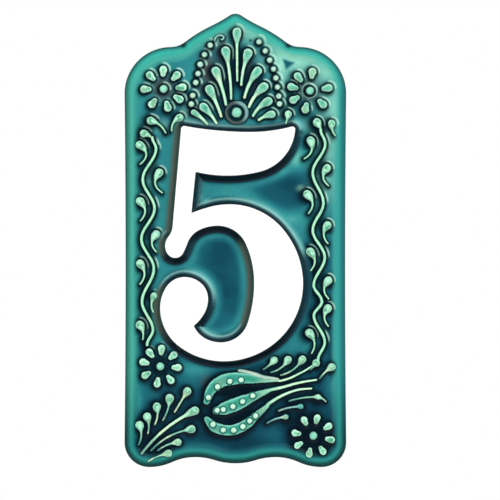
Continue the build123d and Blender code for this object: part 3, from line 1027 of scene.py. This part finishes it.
# pool_and_shade: near-black pooled glaze at the foot of each trail, with painted shade spread further on
# the side away from BRIGHT_SIDE.
pool_and_shade = np.zeros(len(spots))
creep = np.zeros(len(spots))
painted_glint = np.zeros(len(spots))
for spine, widths, wet in footprints:
    low = spine.min(axis=0) - widths.max() - POOL_LIMIT * wet
    high = spine.max(axis=0) + widths.max() + POOL_LIMIT * wet
    near = np.flatnonzero(((spots > low) & (spots < high)).all(axis=1))
    steps = spots[near, None] - spine
    lengths = np.linalg.norm(steps, axis=2)
    nearest = (lengths - widths).argmin(axis=1)
    order = np.arange(len(near))
    gap = np.maximum((lengths - widths)[order, nearest], 0)
    # The dark reaches further on the side away from BRIGHT_SIDE: painted shade.
    bright = (steps[order, nearest] @ BRIGHT_SIDE) / np.maximum(lengths[order, nearest], 0.05)
    reach = wet * (0.5 + 0.5 * widths[nearest] / widths.max()) * (SHADE_SIDE[0] - SHADE_SIDE[1] * bright)
    pool_and_shade[near] = 1 - (1 - pool_and_shade[near]) * (1 - POOL_DARK * np.exp(-(gap / reach) ** POOL_FALL))
    creep[near] = np.maximum(creep[near], np.exp(-(gap / CREEP_REACH) ** 2))
    # A painted glint on the side facing BRIGHT_SIDE, a little off each trail.
    arc = np.exp(-((gap - GLINT_GAP) / GLINT_HALF) ** 2) * eased(bright, *GLINT_TURN)
    bent = np.exp(-(np.linalg.norm(spine[nearest, None] - BENDS, axis=2).min(axis=1) / BEND_REACH) ** 4)
    painted_glint[near] = np.maximum(painted_glint[near], arc * np.maximum(eased(widths[nearest], *GLINT_WIDTHS), bent))
# A painted pale ring round the green flower's middle joins the painted glints.
from_green = np.linalg.norm(spots - GREEN_FLOWER, axis=1)
painted_glint = np.maximum(painted_glint, RING_SHARE * np.exp(-((from_green - RING_RADIUS) / RING_HALF) ** 2))
# The flowers' middles, among the petals, are painted dark: pooled glaze and painted shade.
for middle, *_, dark, _ in FLOWERS:
    pool_and_shade = np.maximum(pool_and_shade, dark * eased(np.linalg.norm(spots - middle, axis=1), *FLOWER_DARK))
pool_and_shade *= eased(rim_distance, *POOL_RIM)
# The dish inside the collar is painted dark: pooled glaze and painted shade.
to_boss = np.linalg.norm(spots - BOSS, axis=1)
pool_and_shade = np.maximum(pool_and_shade, DISH_DARK * eased(to_boss, *DISH))
for notch, reach in NOTCHES:
    pool_and_shade = np.maximum(pool_and_shade, NOTCH_DARK * np.exp(-(np.linalg.norm(spots - notch, axis=1) / reach) ** 2))
height += CREEP_RISE * creep * eased(rim_distance, *CREEP_RIM) * eased(numeral_distance, *CREEP_WALL)

field_depth = UPPER_DEPTH + (LOWER_DEPTH - UPPER_DEPTH) * eased(-spots[:, 1], *DEPTH_FALL)
for middle, reach, change in DEEPS_AND_SHALLOWS:
    field_depth += change * np.exp(-(((spots - middle) / reach) ** 2).sum(axis=1))
for middle, reach, change in WELLS:
    well = np.exp(-(((spots - middle) / reach) ** 4).sum(axis=1))
    field_depth += change * well * eased(numeral_distance, *WELL_EDGE)
pocket = np.ones(len(spots))
for (x0, z0), (x1, z1) in zip(POCKET, POCKET[1:] + POCKET[:1]):
    cross = (spots[:, 0] - x0) * (z1 - z0) - (spots[:, 1] - z0) * (x1 - x0)
    pocket *= eased(cross / math.hypot(x1 - x0, z1 - z0), *POCKET_EDGE)
# The painted glare patches, kept off the rim and the dark pocket.
painted_glare = np.zeros(len(spots))
for middle, reach, share in PAINTED_GLARES:
    painted_glare = np.maximum(painted_glare, share * np.exp(-(((spots - middle) / reach) ** 2).sum(axis=1)))
painted_glare *= eased(rim_distance, *GLARE_RIM) * (1 - pocket)
field_depth += pocket * (POCKET_DEPTH - field_depth)
tawny = np.zeros(len(spots))
for middle, reach, share in TAWNY:
    tawny = np.maximum(tawny, share * np.exp(-(((spots - middle) / reach) ** 2).sum(axis=1)))
# Which way the numeral's walls face, for painted light and shade on them: wall_left, wall_down and
# wall_level pick the shaded and lit wall colours, TOP_SHADE paints the walls near the numeral's top
# darker, and wall_lit marks walls facing BRIGHT_SIDE for a painted highlight, which BOWL_RIGHT and
# BOWL_LOW take off the bowl's lower right and LIT_NOOK adds in one nook.
wall_left = eased(-facing[:, 0], *LEFT_TURN)
wall_down = eased(-facing[:, 1], *DOWN_TURN)
wall_down = np.maximum(wall_down, TOP_SHADE * eased(spots[:, 1], *TOP_SHADE_RISE))
wall_level = eased(np.abs(facing[:, 1]), *LEVEL_TURN)
wall_lit = eased(facing @ BRIGHT_SIDE, *LIT_TURN)
wall_lit *= 1 - eased(spots[:, 0], *BOWL_RIGHT) * eased(-spots[:, 1], *BOWL_LOW)
wall_lit = np.maximum(wall_lit, np.exp(-(((spots - LIT_NOOK) / NOOK_REACH) ** 2).sum(axis=1)))

plate_finish, nodes, links, shader = new_finish("plate_glaze")
place = nodes.new("ShaderNodeTexCoord")
axes = nodes.new("ShaderNodeSeparateXYZ")
links.new(place.outputs["Object"], axes.inputs["Vector"])
cloud = mottle(nodes, links, 70, 4.0)
inset = spread(nodes, links, kept(nodes, "rim_distance"), 0, 10)
# The rim's ramps are partly the glaze's own tone and partly painted light and shade: the brightest band
# sits on the crest on the left and further in on the right, and the rim is painted paler near the top
# and darker along the foot.
left_rim = colour_ramp(nodes, links, inset, [
    (0.0, (42, 96, 88)),
    (0.04, (52, 122, 108)),
    (0.11, (54, 138, 122)),
    (0.19, (64, 152, 138)),
    (0.3, (72, 162, 148)),
    (0.41, (62, 156, 144)),
    (0.6, (50, 146, 136)),
])
right_rim = colour_ramp(nodes, links, inset, [
    (0.0, (40, 100, 102)),
    (0.04, (38, 116, 116)),
    (0.11, (38, 122, 120)),
    (0.19, (42, 138, 132)),
    (0.3, (50, 152, 146)),
    (0.53, (62, 164, 158)),
    (0.72, (66, 156, 150)),
])
foot_rim = colour_ramp(nodes, links, inset, [
    (0.0, (18, 52, 56)),
    (0.06, (24, 80, 80)),
    (0.12, (30, 104, 100)),
    (0.2, (38, 124, 118)),
    (0.3, (36, 120, 118)),
    (0.41, (26, 102, 106)),
    (0.54, (18, 82, 92)),
])
to_right = spread(nodes, links, axes.outputs["X"], -0.03, 0.03)
rim_colour = blended(nodes, links, to_right, left_rim, right_rim)
top_rim = colour_ramp(nodes, links, inset, [
    (0.0, (24, 80, 76)),
    (0.04, (44, 128, 122)),
    (0.12, (50, 154, 142)),
    (0.2, (52, 164, 150)),
    (0.28, (64, 172, 158)),
    (0.38, (78, 184, 170)),
    (0.6, (80, 184, 170)),
])
to_top = spread(nodes, links, axes.outputs["Z"], 0.06, 0.082)
rim_colour = blended(nodes, links, to_top, rim_colour, top_rim)
to_foot = spread(nodes, links, axes.outputs["Z"], -0.05, -0.094)
rim_colour = blended(nodes, links, to_foot, rim_colour, foot_rim)
uneven = spread(nodes, links, cloud, 0.3, 0.7, -0.05, 0.05)
depth = summed(nodes, links, kept(nodes, "field_depth"), uneven)
field_colour = colour_ramp(nodes, links, depth, [
    (0.0, (160, 222, 194)),
    (0.15, (100, 182, 168)),
    (0.35, (48, 136, 138)),
    (0.55, (28, 100, 112)),
    (0.75, (14, 66, 82)),
    (0.9, (6, 36, 48)),
    (1.0, (3, 20, 30)),
])
in_field = spread(nodes, links, kept(nodes, "rim_distance"), 4.2, 7.4)
colour = blended(nodes, links, in_field, rim_colour, field_colour)
clearing = spread(nodes, links, cloud, 0.35, 0.65, 0.7, 1.0)
# Painted glare: the field is painted paler where it would mirror a bright lamp, broken up by the mottle.
glare_share = summed(nodes, links, kept(nodes, "painted_glare"), clearing, "MULTIPLY")
colour = blended(nodes, links, glare_share, colour, paint(*PAINTED_GLARE_GREEN))
colour = blended(nodes, links, kept(nodes, "tawny"), colour, paint(*TAWNY_BROWN))
# The colour of the pooled glaze and painted shade round the trails.
pool_and_shade_colour = colour_ramp(nodes, links, mottle(nodes, links, 110), [
    (0.35, (2, 14, 26)),
    (0.55, (3, 20, 31)),
    (0.75, (7, 26, 35)),
])
colour = blended(nodes, links, spread(nodes, links, kept(nodes, "pool_and_shade"), 0.0, 1.0), colour, pool_and_shade_colour)
# Painted glints beside the trails.
glint_share = spread(nodes, links, kept(nodes, "painted_glint"), 0.1, 0.75, 0.0, 0.85)
colour = blended(nodes, links, glint_share, colour, paint(*PAINTED_GLINT_GREEN))

# Painted light and shade on the numeral's walls and the field at their foot: dark walls facing right,
# grey walls facing left, a painted highlight line on walls facing up, near-black walls facing down with
# a painted shadow below them, and a pale painted highlight on walls facing the light.
off_numeral = spread(nodes, links, kept(nodes, "numeral_distance"), 0, 6)
right_wall = colour_ramp(nodes, links, off_numeral, [
    (0.0, (14, 36, 46)),
    (0.04, (22, 48, 58)),
    (0.26, (26, 56, 66)),
    (0.45, (22, 62, 74)),
    (0.7, (30, 94, 104)),
])
left_wall = colour_ramp(nodes, links, off_numeral, [
    (0.0, (44, 64, 56)),
    (0.08, (50, 68, 60)),
    (0.2, (74, 82, 74)),
    (0.36, (66, 80, 74)),
    (0.6, (48, 112, 108)),
])
upper_wall = colour_ramp(nodes, links, off_numeral, [
    (0.0, (10, 30, 38)),
    (0.1, (14, 38, 46)),
    (0.22, (50, 84, 88)),
    (0.38, (108, 154, 154)),
    (0.48, (74, 128, 130)),
    (0.6, (30, 90, 98)),
])
lower_wall = colour_ramp(nodes, links, off_numeral, [
    (0.0, (4, 16, 26)),
    (0.36, (6, 22, 34)),
    (0.5, (10, 44, 58)),
    (0.68, (30, 92, 104)),
])
flank = blended(nodes, links, kept(nodes, "wall_left"), right_wall, left_wall)
ledge = blended(nodes, links, kept(nodes, "wall_down"), upper_wall, lower_wall)
wall_colour = blended(nodes, links, kept(nodes, "wall_level"), flank, ledge)
lit_wall = colour_ramp(nodes, links, off_numeral, [
    (0.0, (10, 30, 38)),
    (0.08, (18, 46, 54)),
    (0.18, (66, 104, 108)),
    (0.32, (122, 180, 176)),
    (0.46, (106, 174, 170)),
    (0.6, (92, 168, 166)),
])
wall_colour = blended(nodes, links, kept(nodes, "wall_lit"), wall_colour, lit_wall)
on_wall = spread(nodes, links, kept(nodes, "numeral_distance"), 4.9, 2.6)
colour = blended(nodes, links, on_wall, colour, wall_colour)
enamel = spread(nodes, links, kept(nodes, "numeral_distance"), 0.02, -0.3)
white = colour_ramp(nodes, links, mottle(nodes, links, 45), [
    (0.3, (246, 247, 245)),
    (0.7, (250, 250, 249)),
])
colour = blended(nodes, links, enamel, colour, white)

ragged = spread(nodes, links, mottle(nodes, links, 240), 0.3, 0.7, -0.0006, 0.0006)
bare = spread(nodes, links, summed(nodes, links, axes.outputs["Y"], ragged), -0.0014, -0.0009)
clay_colour = colour_ramp(nodes, links, mottle(nodes, links, 900, 5.0), [
    (0.3, (196, 164, 132)),
    (0.5, (214, 186, 154)),
    (0.7, (226, 204, 176)),
])
colour = blended(nodes, links, bare, colour, clay_colour)
links.new(colour, shader.inputs["Base Color"])
gloss = spread(nodes, links, kept(nodes, "rim_distance"), 1.0, 6.5, 0.45, 0.18)
dull = spread(nodes, links, bare, 0, 1, 0.0, 0.6)
links.new(summed(nodes, links, gloss, dull), shader.inputs["Roughness"])
sheen = spread(nodes, links, kept(nodes, "rim_distance"), 4.5, 8.0, 0.03, 0.15)
links.new(sheen, shader.inputs["Specular IOR Level"])

slab_front = np.column_stack([drawn_in, -height, lifted]) * MM
for vertex, position in zip(slab.verts, slab_front):
    vertex.co = position
for level, pull in ((BACK_BREAK, 0.0), (0.0, BACK_BREAK)):
    border = [edge for edge in slab.edges if edge.is_boundary]
    for edge in border:
        edge.smooth = False
    made = bmesh.ops.extrude_edge_only(slab, edges=border)["geom"]
    for vertex in made:
        if isinstance(vertex, bmesh.types.BMVert):
            vertex.co.x *= 1 - pull / BACK_HALF_WIDTH
            vertex.co.z *= 1 - pull / BACK_HALF_HEIGHT
            vertex.co.y = -level * MM
bmesh.ops.holes_fill(slab, edges=[edge for edge in slab.edges if edge.is_boundary], sides=0)
side_count = len(slab.verts) - len(spots)
plate = make_piece(slab, "plate", plate_finish)
for name, values, beyond in (
    ("rim_distance", rim_distance, 0.0),
    ("numeral_distance", numeral_distance, 50.0),
    ("field_depth", field_depth, 0.5),
    ("pool_and_shade", pool_and_shade, 0.0),
    ("painted_glare", painted_glare, 0.0),
    ("tawny", tawny, 0.0),
    ("painted_glint", painted_glint * (1 - GLINT_LOSS * pool_and_shade) * eased(spots[:, 1], *GLINT_FOOT), 0.0),
    ("wall_left", wall_left, 0.0),
    ("wall_down", wall_down, 0.0),
    ("wall_level", wall_level, 0.0),
    ("wall_lit", wall_lit, 0.0),
):
    layer = plate.data.attributes.new(name, "FLOAT", "POINT")
    whole = np.concatenate([values, np.full(side_count, beyond)])
    layer.data.foreach_set("value", whole.astype(np.float32))

# Stage
# A pale floor lies below and a white backdrop stands behind, both out of the light's way.
# One large soft lamp stands high on the right, one on the left, one overhead.
CAMERA_PLACE = (0.00646, -0.909, -0.0041)
FRAME_WIDTH = 0.2225
SENSOR = 36


def pale_sheet(name, corners_of, colour):
    """A flat stage sheet that the camera sees as a clean pale ground."""
    sheet = bmesh.new()
    sheet.faces.new([sheet.verts.new(corner) for corner in corners_of])
    mesh = bpy.data.meshes.new(name)
    sheet.to_mesh(mesh)
    sheet.free()
    material, nodes, links, shader = new_finish(name)
    path = nodes.new("ShaderNodeLightPath")
    glow = nodes.new("ShaderNodeEmission")
    mix = nodes.new("ShaderNodeMixShader")
    seen = summed(nodes, links, path.outputs["Is Camera Ray"], path.outputs["Is Glossy Ray"], "MAXIMUM")
    seen = summed(nodes, links, seen, path.outputs["Is Transmission Ray"], "MAXIMUM")
    shader.inputs["Base Color"].default_value = colour
    shader.inputs["Roughness"].default_value = 0.9
    links.new(seen, mix.inputs["Fac"])
    links.new(shader.outputs["BSDF"], mix.inputs[1])
    links.new(glow.outputs["Emission"], mix.inputs[2])
    links.new(mix.outputs["Shader"], nodes["Material Output"].inputs["Surface"])
    mesh.materials.append(material)
    stage = bpy.data.objects.new(name, mesh)
    bpy.context.scene.collection.objects.link(stage)


backdrop_corners = [(-3, 2.4, -1.5), (3, 2.4, -1.5), (3, 2.4, 2.5), (-3, 2.4, 2.5)]
pale_sheet("backdrop", backdrop_corners, paint(245, 245, 245))
floor_corners = [(-1.2, -1.2, -0.32), (1.2, -1.2, -0.32), (1.2, 1.2, -0.32), (-1.2, 1.2, -0.32)]
pale_sheet("floor", floor_corners, paint(240, 240, 238))


def lamp(name, place, aim, width, depth, power):
    """A soft lamp turned towards a point."""
    light = bpy.data.lights.new(name, "AREA")
    light.shape = "RECTANGLE"
    light.size = width
    light.size_y = depth
    light.energy = power
    holder = bpy.data.objects.new(name, light)
    holder.location = place
    holder.rotation_euler = (Vector(aim) - Vector(place)).to_track_quat("-Z", "Y").to_euler()
    bpy.context.scene.collection.objects.link(holder)


lamp("key", (0.95, -1.1, 0.95), (0, 0, 0), 1.6, 1.6, 27)
lamp("fill", (-1.15, -1.0, 0.3), (0, 0, 0), 1.6, 1.6, 18)
lamp("top", (0.0, -0.7, 1.5), (0, 0, 0), 1.6, 1.0, 9)

world = bpy.data.worlds.new("studio")
world.use_nodes = True
world.node_tree.nodes["Background"].inputs["Color"].default_value = paint(150, 156, 160)
world.node_tree.nodes["Background"].inputs["Strength"].default_value = 0.35
bpy.context.scene.world = world

lens = bpy.data.cameras.new("camera")
lens.sensor_width = SENSOR
lens.lens = SENSOR * -CAMERA_PLACE[1] / FRAME_WIDTH
camera = bpy.data.objects.new("camera", lens)
camera.location = CAMERA_PLACE
camera.rotation_euler = (math.pi / 2, 0, 0)
bpy.context.scene.collection.objects.link(camera)
bpy.context.scene.camera = camera
bpy.context.scene.view_settings.view_transform = "Standard"
